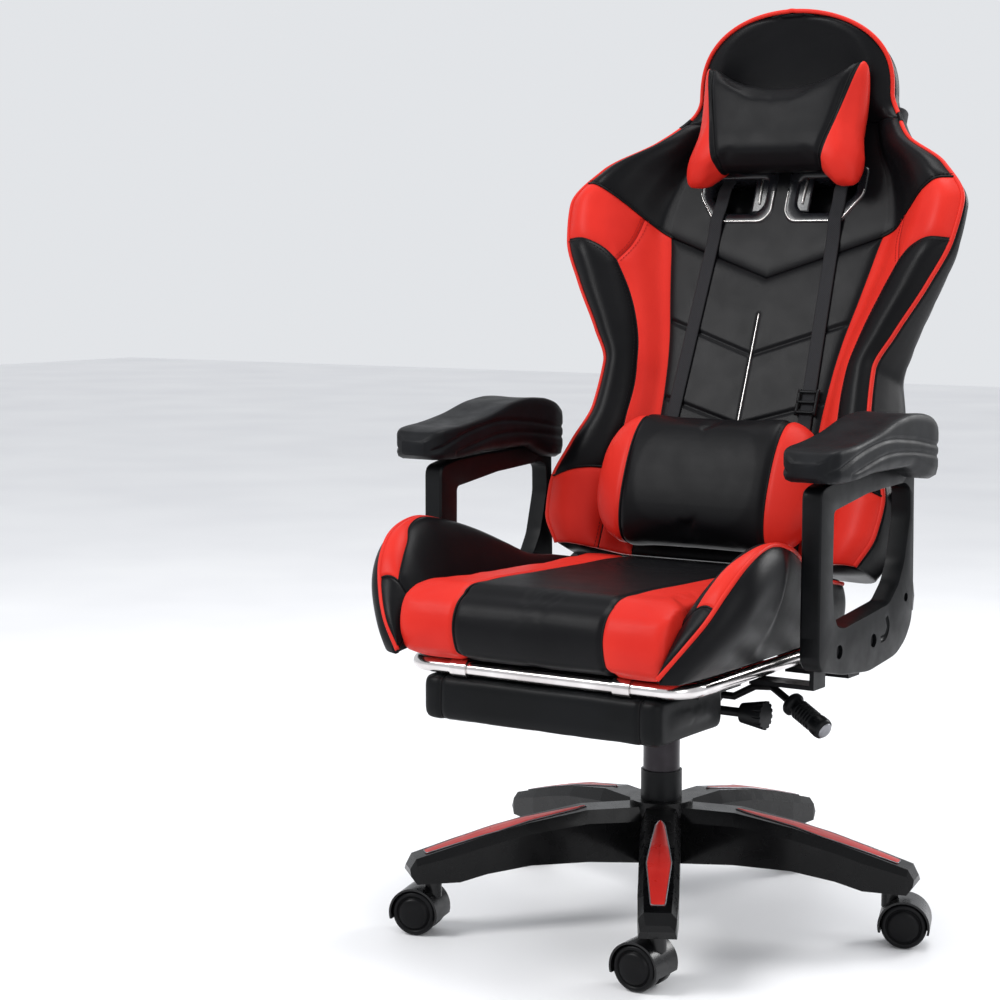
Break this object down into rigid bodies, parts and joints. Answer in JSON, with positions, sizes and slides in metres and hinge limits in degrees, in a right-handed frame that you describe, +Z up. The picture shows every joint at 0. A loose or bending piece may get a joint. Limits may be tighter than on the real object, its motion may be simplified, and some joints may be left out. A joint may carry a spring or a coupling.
{
  "type": "gaming chair",
  "caption": "Racing-style swivel chair with a reclining bucket back, loop armrests, head and lumbar pillows, slide-out footrest, gas lift and a star base on casters.",
  "frame": {"origin": "the floor point under the lift column's axis, with the wheels standing on z = 0", "axes": "+Z up, -Y the way the sitter faces, +X to the sitter's left"},
  "size_m": [0.7188, 0.7742, 1.251],
  "materials": {
    "black_leather": "satin",
    "red_leather": "satin",
    "foot_leather": "satin",
    "arm_pad_skin": "satin",
    "black_plastic": "satin",
    "base_plastic": "gloss",
    "red_plastic": "satin",
    "bezel_plastic": "gloss",
    "caster_plastic": "satin",
    "wheel_plastic": "satin",
    "black_metal": "satin",
    "column_metal": "satin",
    "steel": "satin",
    "chrome": "polished",
    "plywood": "matte",
    "webbing": "matte",
    "bush_plastic": "matte"
  },
  "bodies": {
    "base": {"star_base": "base_plastic", "base_inlays": "red_plastic", "column_tube": "column_metal", "column_collar": "black_plastic", "column_bushing": "bush_plastic", "piston_rod": "steel", "thrust_bearing": "steel"},
    "lift": {"gas_cylinder": "chrome"},
    "release_button": {"release_button": "steel"},
    "mechanism": {"mechanism_housing": "black_metal", "tilt_pin": "steel", "tension_spring": "steel"},
    "tension_knob": {"tension_knob": "black_plastic"},
    "height_lever": {"height_lever": "black_metal", "height_lever_grip": "black_plastic"},
    "seat": {"seat_plate": "black_metal", "seat_rails": "black_metal", "seat_pan": "plywood", "plate_screws": "steel", "seat_cushion": "black_leather", "seat_bolster_left": "black_leather", "seat_bolster_right": "black_leather", "footrest_guides": "black_plastic", "armrest_frame_left": "black_plastic", "armrest_frame_right": "black_plastic", "armrest_pad_left": "arm_pad_skin", "armrest_pad_right": "arm_pad_skin", "armrest_brackets": "black_metal", "armrest_bolts": "black_metal", "hinge_brackets": "black_metal", "hinge_pins": "steel", "hinge_covers": "black_plastic"},
    "footrest": {"footrest_rail": "chrome"},
    "footrest_pad": {"footrest_pad": "foot_leather", "footrest_clamps": "black_metal"},
    "back": {"back_pad": "black_leather", "back_bolster_left": "black_leather", "back_bolster_right": "black_leather", "harness_bezels": "bezel_plastic", "recliner_arms": "black_metal", "head_pillow": "black_leather", "lumbar_pillow": "black_leather", "pillow_straps": "webbing", "strap_buckle": "black_plastic"},
    "recline_lever": {"recline_lever": "bezel_plastic"},
    "caster_1": {"caster_hood_1": "caster_plastic", "caster_pins_1": "steel"},
    "wheels_1": {"caster_wheels_1": "wheel_plastic"},
    "caster_2": {"caster_hood_2": "caster_plastic", "caster_pins_2": "steel"},
    "wheels_2": {"caster_wheels_2": "wheel_plastic"},
    "caster_3": {"caster_hood_3": "caster_plastic", "caster_pins_3": "steel"},
    "wheels_3": {"caster_wheels_3": "wheel_plastic"},
    "caster_4": {"caster_hood_4": "caster_plastic", "caster_pins_4": "steel"},
    "wheels_4": {"caster_wheels_4": "wheel_plastic"},
    "caster_5": {"caster_hood_5": "caster_plastic", "caster_pins_5": "steel"},
    "wheels_5": {"caster_wheels_5": "wheel_plastic"}
  },
  "joints": [
    {"name": "lift_slide", "type": "slide", "parent": "base", "child": "lift", "axis": [0, 0, 1], "range_m": [0, 0.08]},
    {"name": "release_press", "type": "slide", "parent": "lift", "child": "release_button", "axis": [0, 0, -1], "range_m": [0, 0.0045]},
    {"name": "swivel", "type": "hinge", "parent": "lift", "child": "mechanism", "pos_m": [0, 0, 0.3], "axis": [0, 0, 1], "continuous": true},
    {"name": "tension_turn", "type": "hinge", "parent": "mechanism", "child": "tension_knob", "pos_m": [0.18, -0.088, 0.318], "axis": [1, 0, 0], "continuous": true},
    {"name": "height_lever_lift", "type": "hinge", "parent": "mechanism", "child": "height_lever", "pos_m": [0.054, 0, 0.319], "axis": [0, -1, 0], "range_deg": [0, 5], "stiffness_Nm_per_rad": 4, "springref_deg": -8.59},
    {"name": "seat_tilt", "type": "hinge", "parent": "mechanism", "child": "seat", "pos_m": [0, -0.06, 0.338], "axis": [-1, 0, 0], "range_deg": [0, 15], "stiffness_Nm_per_rad": 200, "springref_deg": -28.65},
    {"name": "footrest_slide", "type": "slide", "parent": "seat", "child": "footrest", "axis": [0, -1, 0], "range_m": [0, 0.26]},
    {"name": "footrest_flip", "type": "hinge", "parent": "footrest", "child": "footrest_pad", "pos_m": [0, -0.306, 0.381], "axis": [-1, 0, 0], "range_deg": [0, 180]},
    {"name": "back_recline", "type": "hinge", "parent": "seat", "child": "back", "pos_m": [0, 0.205, 0.435], "axis": [-1, 0, 0], "range_deg": [-12, 43]},
    {"name": "recline_lever_pull", "type": "hinge", "parent": "seat", "child": "recline_lever", "pos_m": [0.262, 0.205, 0.435], "axis": [-1, 0, 0], "range_deg": [0, 25], "stiffness_Nm_per_rad": 3, "springref_deg": -11.46},
    {"name": "caster_swivel_1", "type": "hinge", "parent": "base", "child": "caster_1", "pos_m": [0.1532, -0.27867, 0.08], "axis": [0, 0, 1], "continuous": true},
    {"name": "wheel_roll_1", "type": "hinge", "parent": "caster_1", "child": "wheels_1", "pos_m": [0.1332, -0.27867, 0.03], "axis": [0, -1, 0], "continuous": true},
    {"name": "caster_swivel_2", "type": "hinge", "parent": "base", "child": "caster_2", "pos_m": [0.31237, 0.05959, 0.08], "axis": [0, 0, 1], "continuous": true},
    {"name": "wheel_roll_2", "type": "hinge", "parent": "caster_2", "child": "wheels_2", "pos_m": [0.33116, 0.06643, 0.03], "axis": [-0.342, 0.9397, 0], "continuous": true},
    {"name": "caster_swivel_3", "type": "hinge", "parent": "base", "child": "caster_3", "pos_m": [0.03986, 0.31549, 0.08], "axis": [0, 0, 1], "continuous": true},
    {"name": "wheel_roll_3", "type": "hinge", "parent": "caster_3", "child": "wheels_3", "pos_m": [0.04503, 0.33481, 0.03], "axis": [-0.9659, 0.2588, 0], "continuous": true},
    {"name": "caster_swivel_4", "type": "hinge", "parent": "base", "child": "caster_4", "pos_m": [-0.28774, 0.1354, 0.08], "axis": [0, 0, 1], "continuous": true},
    {"name": "wheel_roll_4", "type": "hinge", "parent": "caster_4", "child": "wheels_4", "pos_m": [-0.30306, 0.14825, 0.03], "axis": [-0.6428, -0.766, 0], "continuous": true},
    {"name": "caster_swivel_5", "type": "hinge", "parent": "base", "child": "caster_5", "pos_m": [-0.21769, -0.23181, 0.08], "axis": [0, 0, 1], "continuous": true},
    {"name": "wheel_roll_5", "type": "hinge", "parent": "caster_5", "child": "wheels_5", "pos_m": [-0.237, -0.23699, 0.03], "axis": [0.2588, -0.9659, 0], "continuous": true}
  ],
  "couplings": [
    {"joint": "release_press", "follows": "height_lever_lift", "m_per_rad": 0.05},
    {"joint": "footrest_flip", "follows": "footrest_slide", "rad_per_m": 12.08}
  ]
}
